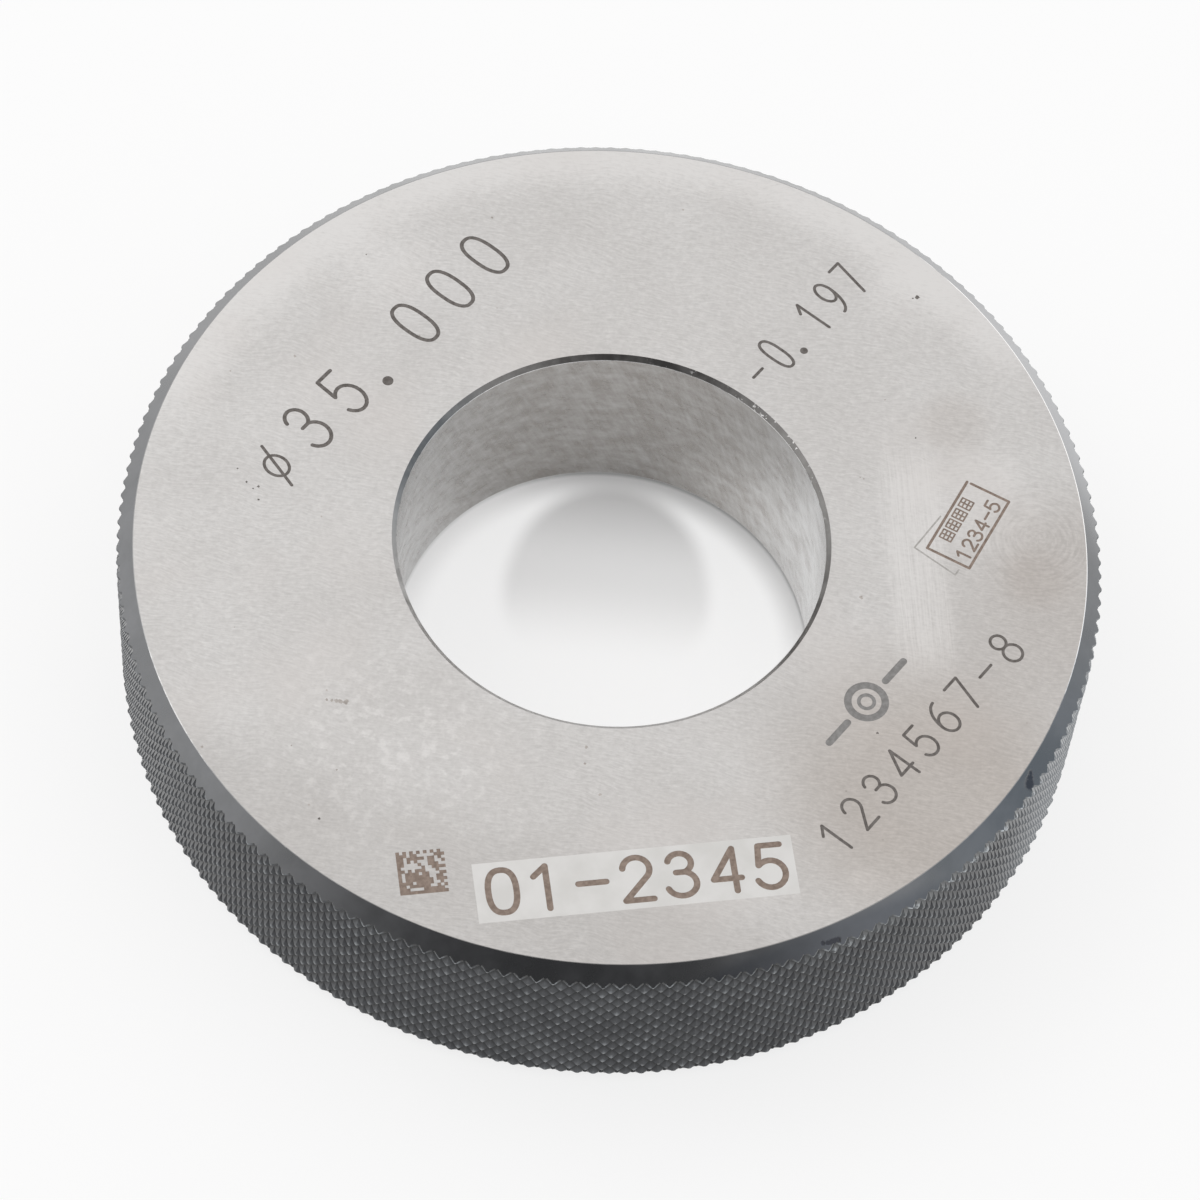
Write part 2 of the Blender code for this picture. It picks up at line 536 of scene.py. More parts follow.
# Pits and specks of rust on the upper face: place and radius.
PITS = (
    (35.11, -4.66, 0.24),
    (34.75, -4.45, 0.08),
    (-14.97, 24.77, 0.13),
    (-15.4, 24.96, 0.08),
    (-15.26, 25.79, 0.1),
    (-15.9, 23.95, 0.11),
    (-14.77, 27.18, 0.08),
    (-35.0, 1.17, 0.13),
    (-0.55, -27.4, 0.12),
    (8.23, 32.97, 0.08),
    (23.76, -12.99, 0.08),
)
RUST_SPECKS = (
    (-25.72, 6.36, 0.26),
    (-25.92, 6.7, 0.24),
    (-26.1, 7.0, 0.2),
    (-26.3, 7.3, 0.14),
    (-26.5, 7.65, 0.12),
    (-25.86, 8.22, 0.1),
    (-16.52, -10.64, 0.15),
    (-17.73, -11.51, 0.12),
    (-19.13, -14.15, 0.15),
    (-3.41, 30.82, 0.13),
    (8.61, -18.84, 0.17),
    (4.22, -35.15, 0.13),
    (-7.92, -33.53, 0.13),
    (18.05, 27.42, 0.12),
    (-36.08, 12.3, 0.12),
)
RANDOM_SPECKS = 18
RANDOM_SPECK_RADIUS = (0.05, 0.1)
CLEAR_OF_EDGES = 1.5  # millimetres
SPECK_CORNERS = 11
SPECK_RAGGED = (0.6, 1.15)  # the least and the most that a corner reaches out, as a part of the radius


def add_speck(marks, centre, radius, finish, source):
    angles = np.linspace(0, 2 * math.pi, SPECK_CORNERS, endpoint=False)
    reach = radius * source.uniform(*SPECK_RAGGED, SPECK_CORNERS)
    marks.add_polygon(points_round(centre, angles, reach, reach), finish)


def add_specks(marks):
    source = random_source(2)
    for _ in range(RANDOM_SPECKS):
        reach = source.uniform(MOUTH_RADIUS / MM + CLEAR_OF_EDGES, FACE_RADIUS / MM - CLEAR_OF_EDGES)
        angle = source.uniform(0, 2 * math.pi)
        centre = (reach * math.cos(angle), reach * math.sin(angle))
        add_speck(marks, centre, source.uniform(*RANDOM_SPECK_RADIUS), "rust_speck", source)
    for specks, finish in ((RUST_SPECKS, "rust_speck"), (PITS, "pit")):
        for x, y, radius in specks:
            add_speck(marks, (x, y), radius, finish, source)


def make_marks():
    marks = Marks()
    add_specks(marks)
    for add in (add_size, add_deviation, add_number, add_symbol, add_patch, add_code, add_date_box):
        add(marks)
    return marks


# Finishes that lie level with the face.
FLUSH = ("ground_face", "whitened_patch", "ghost_line", "rust_speck")


def cut_face(outer, inner, marks):
    """The face between two outlines, cut along those of the marks. Returns points, triangles, the given
    points that each point stands for, and each triangle's finish, which is None in the bore."""
    middle, end = len(outer), len(outer) + len(inner)
    outlines = [list(range(middle)), list(range(middle, end))]
    outlines += [[corner + end for corner in corners] for corners, _ in marks.polygons]
    finishes = ["ground_face", None] + [finish for _, finish in marks.polygons]
    given = [Vector(point) for point in outer + inner + marks.points]
    found = delaunay_2d_cdt(given, [], outlines, 0, MERGE_DISTANCE, True)
    points, triangles, sources, origins = found[0], found[2], found[3], found[5]
    return points, triangles, sources, [finishes[max(inside)] for inside in origins]


def add_marked_face(parts, outer_loop, inner_loop, marks):
    """The upper face between its two loops, with the marks sunk into it a little."""
    rim = outer_loop + inner_loop
    flat = [(parts.points[i][0] / MM, parts.points[i][1] / MM) for i in rim]
    outer, inner = flat[:len(outer_loop)], flat[len(outer_loop):]
    points, triangles, sources, finishes = cut_face(outer, inner, marks)
    placed = {}

    def vertex(number, depth):
        if (number, depth) not in placed:
            on_rim = [rim[i] for i in sources[number] if i < len(rim)]
            if on_rim:
                placed[number, depth] = on_rim[0]
            else:
                x, y = points[number]
                placed[number, depth] = parts.add_points([(x * MM, y * MM, WIDTH - depth)])[0]
        return placed[number, depth]

    sides = {}
    for triangle, finish in zip(triangles, finishes):
        if finish is None:
            continue
        depth = 0.0 if finish in FLUSH else MARK_DEPTH
        parts.add_face([vertex(corner, depth) for corner in triangle], finish)
        for start, end in zip(triangle, triangle[1:] + triangle[:1]):
            sides[start, end] = (depth, finish)
    for (start, end), (depth, _) in sides.items():
        low, finish = sides.get((end, start), (depth, None))
        if low > depth:
            wall = (vertex(start, low), vertex(end, low), vertex(end, depth), vertex(start, depth))
            parts.add_face(wall, finish)


def make_ring():
    parts = MeshParts()
    _, angles = column_angles()
    lower_border, upper_border = add_knurl(parts)
    upper_edge, upper_mouth, upper_bore = add_side(parts, upper_border, angles, flipped=False)
    lower_edge, lower_mouth, lower_bore = add_side(parts, lower_border, angles, flipped=True)
    parts.band(upper_bore, lower_bore, "lapped_bore")
    parts.band(lower_mouth, lower_edge, "ground_face")
    add_marked_face(parts, upper_edge, upper_mouth, make_marks())
    ring = parts.to_object("ring")
    ring.data.shade_smooth()
    ring.data.set_sharp_from_angle(angle=SHARP_ANGLE)
    return ring


# Materials.


class Nodes:
    """A short way to write the nodes of a material or of the world."""

    def __init__(self, owner, shader):
        owner.use_nodes = True
        self.tree = owner.node_tree
        self.shader = self.tree.nodes[shader]

    def put(self, socket, value):
        if isinstance(value, bpy.types.NodeSocket):
            self.tree.links.new(value, socket)
        else:
            socket.default_value = value

    def node(self, kind, inputs=(), **settings):
        """A new node. inputs are pairs of a socket's name or number and what goes into it."""
        made = self.tree.nodes.new(kind)
        for name, value in settings.items():
            setattr(made, name, value)
        for socket, value in inputs:
            self.put(made.inputs[socket], value)
        return made

    def set(self, **values):
        for name, value in values.items():
            self.put(self.shader.inputs[name.replace("_", " ")], value)

    def math(self, operation, *values):
        return self.node("ShaderNodeMath", enumerate(values), operation=operation).outputs[0]

    def plus(self, first, second):
        return self.math("ADD", first, second)

    def minus(self, first, second):
        return self.math("SUBTRACT", first, second)

    def times(self, first, second):
        return self.math("MULTIPLY", first, second)

    def larger(self, first, second):
        return self.math("MAXIMUM", first, second)

    def diagonal(self, x, y):
        return self.math("SQRT", self.plus(self.math("POWER", x, 2), self.math("POWER", y, 2)))

    def vector_math(self, operation, first, second, output="Vector"):
        made = self.node("ShaderNodeVectorMath", enumerate((first, second)), operation=operation)
        return made.outputs[output]

    def scale(self, vector, scale):
        return self.vector_math("MULTIPLY", vector, scale)

    def separate(self, vector):
        return self.node("ShaderNodeSeparateXYZ", [(0, vector)]).outputs

    def combine(self, x, y, z):
        return self.node("ShaderNodeCombineXYZ", enumerate((x, y, z))).outputs[0]

    def turn(self, vector, angle):
        """Turns the coordinates about Z, so that a direction at this angle becomes their X."""
        inputs = (("Vector", vector), ("Angle", self.times(angle, -1.0)))
        return self.node("ShaderNodeVectorRotate", inputs, rotation_type="Z_AXIS").outputs[0]

    def radius(self, place):
        x, y, _ = self.separate(place)
        return self.diagonal(x, y)

    def ramp(self, value, low, high, out_low=0.0, out_high=1.0):
        inputs = enumerate((value, low, high, out_low, out_high))
        return self.node("ShaderNodeMapRange", inputs, interpolation_type="SMOOTHSTEP").outputs[0]

    def below(self, value, level, distances, *shares):
        """A ramp between two distances below a level, in millimetres."""
        first, last = distances
        return self.ramp(value, level - first * MM, level - last * MM, *shares)

    def side(self, place, degrees, low, high, *shares):
        """A ramp over how far a place lies out in a direction: 1 at the rim, and -1 at the rim opposite."""
        along, _, _ = self.separate(self.turn(place, math.radians(degrees)))
        return self.ramp(self.math("DIVIDE", along, TIP_RADIUS), low, high, *shares)

    def noise(self, vector, scale, detail=2.0, roughness=0.5):
        inputs = (("Vector", vector), ("Scale", scale), ("Detail", detail), ("Roughness", roughness))
        return self.node("ShaderNodeTexNoise", inputs).outputs["Fac"]

    def mixed(self, share, first, second, **settings):
        inputs = (("Factor", share), ("A", first), ("B", second))
        return self.node("ShaderNodeMix", inputs, **settings).outputs["Result"]

    def mix(self, share, first, second):
        """A colour between two."""
        return self.mixed(share, first, second, data_type="RGBA")

    def tint(self, share, colour, tint):
        return self.mixed(share, colour, tint, data_type="RGBA", blend_type="MULTIPLY")

    def blend(self, share, first, second):
        """A number between two."""
        return self.mixed(share, first, second, data_type="FLOAT")

    def bump(self, height, distance):
        return self.node("ShaderNodeBump", (("Height", height), ("Distance", distance))).outputs[0]


def make_material(name, look):
    material = bpy.data.materials.new(name)
    nodes = Nodes(material, "Principled BSDF")
    look(nodes, nodes.node("ShaderNodeTexCoord").outputs["Object"])
    return material


def rgb(red, green, blue):
    return (red, green, blue, 1.0)


# The ground face: the direction of its streaks.
BRUSH_ANGLE = math.radians(-61)
# Where it was polished again in circles: middle and radius.
SWIRL = (22.3, -26.4, 7.5)
# Where it was rubbed again with straight strokes: middle, direction in degrees, half length and half width.
RUBBED_BAND = ((14.3, -20.2), 42.0, 13.0, 3.2)
# Places where it is a little whiter: middle and radius.
PALE_SPOTS = (
    (21.5, -20.0, 7.0),
    (24.5, -19.5, 4.5),
    (34.5, -4.0, 5.0),
    (8.0, 31.0, 6.0),
    (-11.6, -34.6, 1.6),
)
# The worn quarter, with a cloud of small pale spots.
WORN_SPOT = (-27.0, 0.5, 15.0)
# Faint brown stains, and two places of warm painted shade, with their tint.
STAINS = ((19.3, -28.6, 4.0), (27.0, -14.5, 4.0))
WARM_SHADE_SPOTS = (
    ((-2.4, -34.1, 17.0), (0.84, 0.805, 0.775)),
    ((19.5, -32.7, 14.0), (0.88, 0.86, 0.845)),
)
# Sides of the ring where a finish is rubbed, nicked or tinted, and where painted sheen, highlight, glint or
# shade lightens or darkens it, in degrees round it from +X.
# Painted shade makes the face darker on this side.
SHADED_FACE_SIDE = -161.0
PALE_RIM_SIDE = 44.0
# Painted sheen lightens the bore's chamfer on this side.
SHEEN_MOUTH_SIDE = -166.0
NICKED_MOUTH_SIDE = -6.0
# Painted highlight along the face's edge on this side, and a painted glint on the next.
HIGHLIGHT_EDGE_SIDE = -38.0
GLINT_EDGE_SIDE = 154.0
# Painted sheen lightens the rim's chamfer on this side, and painted shade darkens it on the next.
SHEEN_CHAMFER_SIDE = -20.0
SHADED_CHAMFER_SIDE = 39.0
BLUE_CHAMFER_SIDE = -116.0
SCUFFED_KNURL_SIDE = -91.0
# Painted sheen lightens the knurl on this side.
SHEEN_KNURL_SIDE = -70.0
# How far the bore's edge is worn bare all round, from 0 to 1.
BORE_EDGE_WEAR = 0.5
# How far the strokes in the bore turn about its axis, in radians for each metre of height.
BORE_TWIST = 22.0
# Where parts of a finish start and are full, in millimetres: inside the face's edge, below the knurl's tips
# and below the face.
PALE_RIM = (5.0, 0.5)
BARE_TIPS = (0.16, 0.02)
HIGH_PARTS = (0.3, 0.08)
# Painted shade on the knurl: darker in its grooves, lighter on its high parts.
OUT_OF_GROOVES = (0.42, 0.12)
CUT_ENDS = (2.0, 1.5)
HANDLED_END = (3.6, 1.6)
# Painted shade along the knurl's upper border.
SHADED_KNURL_BORDER = (1.4, 1.2)
# Bruises on the rim's chamfer: their angle round the ring in degrees, and in millimetres how far out from the
# face's edge they lie and how far they reach.
BRUISES = (
    (-83.1, 0.42, 0.36),
    (-83.6, 0.55, 0.42),
    (-84.2, 0.8, 0.66),
    (-115.0, 1.0, 0.36),
    (-115.35, 0.98, 0.42),
    (-115.7, 0.95, 0.38),
    (-116.2, 0.9, 0.3),
    (-116.7, 0.86, 0.27),
)
BRUISE_RAGGED = 0.5 * MM  # how ragged their outlines are


def away_from(nodes, place, centre):
    """How far a place is from a point of the face, and which way."""
    x, y, _ = nodes.separate(place)
    away_x = nodes.minus(x, centre[0] * MM)
    away_y = nodes.minus(y, centre[1] * MM)
    return nodes.diagonal(away_x, away_y), nodes.math("ARCTAN2", away_y, away_x)


def spots(nodes, place, places_and_radii):
    """Soft round spots: 1 in their middle, and 0 outside."""
    result = 0.0
    for x, y, radius in places_and_radii:
        distance, _ = away_from(nodes, place, (x, y))
        result = nodes.larger(result, nodes.ramp(distance, radius * MM, radius * MM * 0.3))
    return result


def band(nodes, place, centre, degrees, half_length, half_width):
    """A soft straight band on the face."""
    moved = nodes.vector_math("SUBTRACT", place, (centre[0] * MM, centre[1] * MM, 0.0))
    along, across, _ = nodes.separate(nodes.turn(moved, math.radians(degrees)))
    in_length = nodes.ramp(nodes.math("ABSOLUTE", along), half_length * MM, half_length * MM * 0.5)
    in_width = nodes.ramp(nodes.math("ABSOLUTE", across), half_width * MM, half_width * MM * 0.4)
    return nodes.times(in_length, in_width)


def straight_streaks(nodes, place, angle, length_scale=950, width_scale=5600, sway=0.0022):
    """Streaks along a direction, which sway a little to its sides."""
    wander = nodes.times(nodes.noise(place, 160, 2.0), sway)
    along, across, _ = nodes.separate(nodes.turn(place, angle))
    across = nodes.times(nodes.plus(across, wander), width_scale)
    return nodes.noise(nodes.combine(nodes.times(along, length_scale), across, 0.0), 1.0, 4.0, 0.7)


def brushed(nodes, place, rubbed_and_sheen):
    """Fine short grinding streaks, and the scratches where the face was polished again."""
    result = straight_streaks(nodes, place, BRUSH_ANGLE)
    x, y, radius = SWIRL
    distance, angle = away_from(nodes, place, (x, y))
    rings = nodes.combine(nodes.times(distance, 3600), nodes.times(angle, 2.0), 0.0)
    share = nodes.times(nodes.ramp(distance, radius * MM, radius * MM * 0.45), 0.33)
    result = nodes.blend(share, result, nodes.ramp(nodes.noise(rings, 1.0, 2.0, 0.5), 0.2, 0.8))
    strokes = straight_streaks(nodes, place, math.radians(RUBBED_BAND[1]), 160, 6500, sway=0.0002)
    return nodes.blend(nodes.times(rubbed_and_sheen, 0.42), result, nodes.ramp(strokes, 0.25, 0.75))


def ground_face(nodes, place):
    """Ground steel: streaks, clouds and grain, its pale and stained places, and painted shade in two places
    and on one side.
    """
    rubbed_and_sheen = band(nodes, place, *RUBBED_BAND)
    streaks = brushed(nodes, place, rubbed_and_sheen)
    clouds = nodes.noise(place, 120, 3.0, 0.55)
    grain = nodes.noise(place, 2600, 3.0, 0.7)
    worn = spots(nodes, place, (WORN_SPOT,))
    streaks = nodes.blend(nodes.times(worn, 0.35), streaks, 0.5)
    flecks = nodes.ramp(nodes.noise(place, 1150, 3.0, 0.55), 0.49, 0.71)
    pale_rim = nodes.below(nodes.radius(place), FACE_RADIUS, PALE_RIM)
    pale_rim = nodes.times(pale_rim, nodes.side(place, PALE_RIM_SIDE, 0.25, 0.5))
    light = 0.0
    for share, weight in (
        (streaks, 0.55),
        (clouds, 0.17),
        (grain, 0.28),
        (nodes.times(spots(nodes, place, PALE_SPOTS), clouds), 0.13),
        (rubbed_and_sheen, 0.12),
        (nodes.times(worn, flecks), 0.13),
        (pale_rim, 0.18),
    ):
        light = nodes.plus(light, nodes.times(share, weight))
    steel = nodes.mix(nodes.ramp(light, 0.3, 0.75), rgb(0.495, 0.49, 0.484), rgb(0.67, 0.665, 0.66))
    pink = nodes.ramp(nodes.noise(place, 75, 2.0), 0.48, 0.75, 0.0, 0.35)
    steel = nodes.mix(pink, steel, rgb(0.6, 0.575, 0.56))
    stains = nodes.times(spots(nodes, place, STAINS), clouds)
    steel = nodes.tint(stains, steel, rgb(0.88, 0.85, 0.83))
    # Painted shade: the face warmer and darker in two places and on one side.
    for spot, tint in WARM_SHADE_SPOTS:
        steel = nodes.tint(spots(nodes, place, (spot,)), steel, rgb(*tint))
    steel = nodes.tint(nodes.side(place, SHADED_FACE_SIDE, 0.64, 0.8), steel, rgb(0.89, 0.885, 0.88))
    nodes.set(Base_Color=steel, Metallic=1.0, Roughness=nodes.ramp(clouds, 0.3, 0.7, 0.38, 0.46))
    nodes.set(Normal=nodes.bump(streaks, 0.004 * MM))


def lapped_bore(nodes, place):
    """Polished steel with the fine leaning strokes of the lap, and a brown haze on its far side."""
    _, depth, height = nodes.separate(nodes.turn(place, CAMERA_AZIMUTH))
    leaning = nodes.turn(place, nodes.times(height, BORE_TWIST))
    strokes = nodes.noise(nodes.scale(leaning, (2400, 2400, 300)), 1.0, 4.0, 0.65)
    clouds = nodes.noise(nodes.scale(leaning, (520, 520, 800)), 1.0, 5.0, 0.66)
    hazy_side = nodes.ramp(depth, 0.3 * BORE_RADIUS, 0.98 * BORE_RADIUS)
    haze = nodes.plus(nodes.times(clouds, 0.65), nodes.times(strokes, 0.35))
    share = nodes.ramp(nodes.plus(haze, nodes.times(hazy_side, 0.22)), 0.33, 0.93)
    steel = nodes.mix(strokes, rgb(0.63, 0.628, 0.624), rgb(0.71, 0.708, 0.704))
    laps = nodes.noise(nodes.scale(place, (150, 150, 9000)), 1.0, 3.0, 0.6)
    steel = nodes.mix(share, steel, rgb(0.39, 0.367, 0.345))
    nodes.set(Base_Color=steel, Metallic=1.0, Roughness=nodes.ramp(clouds, 0.35, 0.7, 0.2, 0.3))
    nodes.set(Normal=nodes.bump(nodes.plus(laps, strokes), 0.001 * MM))


def black_oxide(nodes, share, low, high, roughness, film=1.0):
    """Blackened steel under a film of oil: dark seen straight on, and bright where it is seen at a slant."""
    nodes.set(Base_Color=nodes.mix(share, low, high), Metallic=1.0, Roughness=roughness)
    nodes.set(Coat_Weight=film, Coat_Roughness=0.25, Coat_IOR=1.5)


def bore_chamfer(nodes, place):
    """Black on one side, and lighter towards steel on the other, a painted sheen."""
    patches = nodes.noise(place, 700, 4.0, 0.6)
    nicks = nodes.ramp(nodes.noise(place, 1500, 3.0, 0.7), 0.6, 0.66)
    nicks = nodes.times(nicks, nodes.side(place, NICKED_MOUTH_SIDE, 0.32, 0.42))
    black = nodes.mix(nodes.ramp(patches, 0.35, 0.7), rgb(0.16, 0.153, 0.146), rgb(0.24, 0.232, 0.224))
    # Painted sheen: lighter towards steel on the near side.
    rubbed_and_sheen = nodes.side(place, SHEEN_MOUTH_SIDE, 0.0, 0.3)
    steel = nodes.mix(rubbed_and_sheen, black, nodes.mix(patches, rgb(0.58, 0.57, 0.56), rgb(0.78, 0.77, 0.76)))
    black_oxide(nodes, nicks, steel, rgb(0.75, 0.74, 0.73), nodes.ramp(patches, 0.3, 0.7, 0.3, 0.46))


def rubbed_and_highlit_edge(nodes, place, bare_and_highlight):
    """An edge rubbed by handling: black where its share is 0, and steel where it is 1. On the face's edge the
    steel is also a painted highlight.
    """
    wear = nodes.noise(place, 900, 3.0, 0.6)
    rubbed_and_sheen = nodes.ramp(nodes.plus(wear, bare_and_highlight), 0.55, 1.2)
    steel = nodes.mix(rubbed_and_sheen, rgb(0.3, 0.3, 0.3), rgb(0.97, 0.965, 0.96))
    nodes.set(Base_Color=steel, Metallic=1.0, Roughness=nodes.ramp(wear, 0.3, 0.7, 0.24, 0.42))


def face_edge(nodes, place):
    # Painted highlight: the edge turns to bright steel on one side, with a painted glint on the other.
    bare_and_highlight = nodes.side(place, HIGHLIGHT_EDGE_SIDE, 0.7, 0.96)
    glint = nodes.side(place, GLINT_EDGE_SIDE, 0.94, 0.965, 0.0, 0.3)
    rubbed_and_highlit_edge(nodes, place, nodes.larger(bare_and_highlight, glint))


def bore_edge(nodes, place):
    rubbed_and_highlit_edge(nodes, place, BORE_EDGE_WEAR)


def bruises(nodes, place):
    """Ragged round bruises on the rim's chamfer."""
    ragged = nodes.times(nodes.minus(nodes.noise(place, 1900, 3.0, 0.65), 0.5), BRUISE_RAGGED)
    result = 0.0
    for degrees, out, reach in BRUISES:
        radius, angle = FACE_RADIUS + out * MM, math.radians(degrees)
        centre = (radius * math.cos(angle), radius * math.sin(angle), WIDTH - out * MM)
        distance = nodes.plus(nodes.vector_math("DISTANCE", place, centre, "Value"), ragged)
        result = nodes.larger(result, nodes.ramp(distance, reach * MM, reach * 0.4 * MM))
    return result


def black_chamfer(nodes, place):
    """Black with fine turning lines, lighter with a painted sheen on one side, darker with painted shade on
    another, tinted on a third, and bruised.
    """
    patches = nodes.noise(place, 220, 4.0, 0.6)
    turning = nodes.noise(nodes.scale(place, (200, 200, 9000)), 1.0, 2.0)
    bruised = bruises(nodes, place)
    black = nodes.mix(nodes.ramp(patches, 0.35, 0.7), rgb(0.135, 0.138, 0.143), rgb(0.17, 0.173, 0.18))
    # Painted sheen: lighter towards steel on one side.
    rubbed_and_sheen = nodes.side(place, SHEEN_CHAMFER_SIDE, 0.82, 0.96)
    black = nodes.mix(rubbed_and_sheen, black, nodes.mix(patches, rgb(0.33, 0.335, 0.345), rgb(0.47, 0.475, 0.485)))
    # Painted shade: darker on the far side.
    black = nodes.tint(nodes.side(place, SHADED_CHAMFER_SIDE, 0.45, 0.75), black, rgb(0.45, 0.455, 0.47))
    black = nodes.tint(nodes.side(place, BLUE_CHAMFER_SIDE, 0.945, 0.975), black, rgb(0.62, 0.655, 0.72))
    roughness = nodes.ramp(patches, 0.3, 0.7, 0.26, 0.36)
    black_oxide(nodes, bruised, black, rgb(0.03, 0.033, 0.045), roughness)
    height = nodes.minus(nodes.times(turning, 0.02), bruised)
    nodes.set(Normal=nodes.bump(height, 0.05 * MM))


def black_knurl(nodes, place):
    """Black, with painted shade in the grooves and at its upper border and painted light on its high parts, a
    little bare at the tips, scuffed along its upper end on one side, and with a painted sheen on another.
    """
    _, _, height = nodes.separate(place)
    radius = nodes.radius(place)
    chance = nodes.ramp(nodes.noise(place, 900, 3.0, 0.65), 0.42, 0.66)
    tips = nodes.times(nodes.below(radius, TIP_RADIUS, BARE_TIPS), chance)
    high_parts = nodes.below(radius, TIP_RADIUS, HIGH_PARTS)
    cut_ends = nodes.times(nodes.below(height, WIDTH, CUT_ENDS), high_parts)
    cut_ends = nodes.times(cut_ends, nodes.plus(chance, 0.35))
    upper = nodes.below(height, WIDTH, HANDLED_END)
    handled = nodes.times(upper, nodes.side(place, SCUFFED_KNURL_SIDE, 0.82, 0.98))
    scuffs = nodes.ramp(nodes.noise(place, 750, 4.0, 0.7), 0.5, 0.6)
    scuffed = nodes.times(handled, nodes.times(scuffs, high_parts))
    # Painted sheen: the knurl paler and bluer on one side.
    painted_sheen_side = nodes.side(place, SHEEN_KNURL_SIDE, 0.93, 1.0, 0.0, 0.34)
    bare_and_highlight = nodes.larger(nodes.times(tips, 0.24), nodes.times(cut_ends, 0.28))
    bare_and_highlight = nodes.larger(nodes.larger(bare_and_highlight, scuffed), painted_sheen_side)
    patches = nodes.noise(place, 260, 4.0, 0.6)
    black = nodes.mix(nodes.ramp(patches, 0.3, 0.7), rgb(0.042, 0.044, 0.048), rgb(0.07, 0.073, 0.078))
    # Painted shade and light: darker in the grooves and along the upper border, lighter on the high parts.
    shade = nodes.below(radius, TIP_RADIUS, OUT_OF_GROOVES, 0.45, 1.2)
    shade = nodes.times(shade, nodes.below(height, WIDTH, SHADED_KNURL_BORDER, 1.0, 0.35))
    black = nodes.tint(1.0, black, nodes.combine(shade, shade, shade))
    black = nodes.mix(nodes.times(handled, 0.6), black, rgb(0.15, 0.158, 0.162))
    roughness = nodes.ramp(patches, 0.3, 0.7, 0.32, 0.42)
    black_oxide(nodes, bare_and_highlight, black, rgb(0.54, 0.575, 0.605), roughness, film=0.6)


def whitened_patch(nodes, place):
    cloud = nodes.ramp(nodes.noise(place, 300, 3.0, 0.6), 0.3, 0.7)
    white = nodes.mix(cloud, rgb(0.64, 0.635, 0.62), rgb(0.7, 0.695, 0.685))
    nodes.set(Base_Color=white, Metallic=0.7, Roughness=0.6)


def scorched(dark, pale, roughness):
    """The look of a laser mark, a pit or a speck: a little uneven between two colours."""

    def look(nodes, place):
        uneven = nodes.ramp(nodes.noise(place, 2600, 3.0, 0.6), 0.3, 0.7)
        nodes.set(Base_Color=nodes.mix(uneven, rgb(*dark), rgb(*pale)), Metallic=0.2, Roughness=roughness)

    return look


# Every finish with its look, in the order of the mesh's material slots.
FINISHES = {
    "ground_face": ground_face,
    "lapped_bore": lapped_bore,
    "bore_chamfer": bore_chamfer,
    "black_chamfer": black_chamfer,
    "black_knurl": black_knurl,
    "face_edge": face_edge,
    "bore_edge": bore_edge,
    "laser_line": scorched((0.1, 0.088, 0.08), (0.17, 0.155, 0.145), 0.6),
    "laser_symbol": scorched((0.2, 0.195, 0.19), (0.27, 0.265, 0.26), 0.6),
    "laser_brown": scorched((0.2, 0.15, 0.12), (0.3, 0.235, 0.195), 0.65),
    "whitened_patch": whitened_patch,
    "ghost_line": scorched((0.35, 0.338, 0.32), (0.45, 0.436, 0.42), 0.5),
    "pit": scorched((0.09, 0.08, 0.075), (0.2, 0.185, 0.17), 0.7),
    "rust_speck": scorched((0.34, 0.31, 0.285), (0.5, 0.465, 0.44), 0.6),
}
FINISH_INDEX = {name: index for index, name in enumerate(FINISHES)}


# Floor and light.


# How much of the floor's light is its own white, as in a photograph exposed for the object. It is the least
# in the bore, where it is a painted arch of light, such as the lapped wall throws, round a dimmer middle,
# with painted shade at the foot of the wall and a painted reflection that differs from side to side.
OPEN_FLOOR_WHITE = 0.8
BORE_SIDE_WHITE = 0.72
ARCH_MIDDLE_WHITE = 0.42
ARCH_TOP_WHITE = 0.19
REFLECTED_LEFT_WHITE = 0.43
REFLECTED_MIDDLE_WHITE = 0.32
REFLECTED_RIGHT_WHITE = 0.85
ARCH_HALF_WIDTH = BORE_RADIUS / 2
ARCH_SPRING = 5 * MM  # where its two round ends meet
ARCH_RISE = 11.2 * MM  # height of the round end away from the camera
ARCH_FALL = 8.5 * MM  # height of the other, which fades out
ARCH_SOFTNESS = 0.11
ARCH_FADE = (-1.5 * MM, 7 * MM)  # where it starts and is full, away from the camera
ARCH_DARKENING = (8 * MM, 17 * MM)  # where its middle turns into its top
REFLECTED_LEFT = (-6 * MM, -13 * MM)  # where the sides start and are full, to the right of the axis
REFLECTED_RIGHT = (1 * MM, 12 * MM)
WALL_SHADE = 2.8 * MM  # how far the shade at the foot of the wall reaches
SHADE_SEEN = 0.75
SHADE_REFLECTED = 0.3
SHADE_DEPTH = (-4 * MM, 6 * MM)  # where it starts and is full, away from the camera
SHADE_SIDE = (-13 * MM, -2 * MM)  # where it is half there and full, to the right
# Painted shadow: the floor's own colour darkens under the ring's edge.
UNDER_EDGE = 0.2 * MM  # half the width over which the floor turns dark under the ring
FLOOR_REACH = 3.0
FLOOR_GAP = 0.02 * MM  # how far the floor lies below the ring, so that the two don't touch


